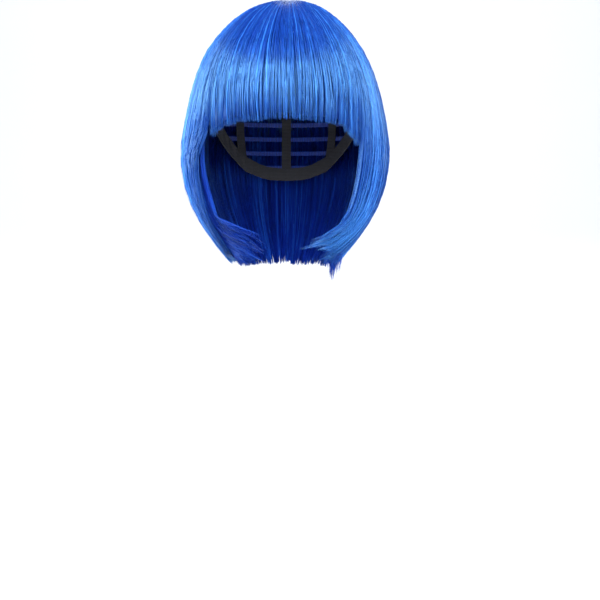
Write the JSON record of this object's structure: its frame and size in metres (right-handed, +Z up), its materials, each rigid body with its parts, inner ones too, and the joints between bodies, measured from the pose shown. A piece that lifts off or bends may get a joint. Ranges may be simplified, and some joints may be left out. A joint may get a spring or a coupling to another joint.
{
  "type": "bob wig",
  "caption": "Chin-length bob wig with a full blunt fringe and inward-curling ends, its hair sewn in rows of weft to a stretch cap with a crown patch.",
  "frame": {"origin": "the inside of the cap at the top of the head, where the wig sits", "axes": "+Z up along the head, -Y towards the face, +X towards the wearer's left ear"},
  "size_m": [0.1955, 0.2236, 0.2452],
  "materials": {
    "net": "fine black stretch net",
    "elastic": "woven black elastic",
    "patch": "pale skin-toned film",
    "weft": "stitched rows of fibre ends",
    "hair": "glossy straight synthetic fibre",
    "under_hair": "glossy straight synthetic fibre"
  },
  "bodies": {
    "root": {"crown_net": "net", "cap_band": "elastic", "crown_patch": "patch", "ribbon_1": "elastic", "ribbon_2": "elastic", "ribbon_3": "elastic", "ribbon_4": "elastic", "ribbon_5": "elastic", "ribbon_6": "elastic", "ribbon_7": "elastic", "weft_row_1": "weft", "weft_row_2": "weft", "weft_row_3": "weft", "weft_row_4": "weft", "weft_row_5": "weft", "weft_row_6": "weft", "weft_row_7": "weft", "weft_row_8": "weft", "weft_row_9": "weft", "fringe_hair": "hair", "side_right_hair": "hair", "side_left_hair": "hair", "back_hair": "hair", "under_right_hair": "under_hair", "under_left_hair": "under_hair", "nape_hair": "under_hair"}
  },
  "joints": []
}
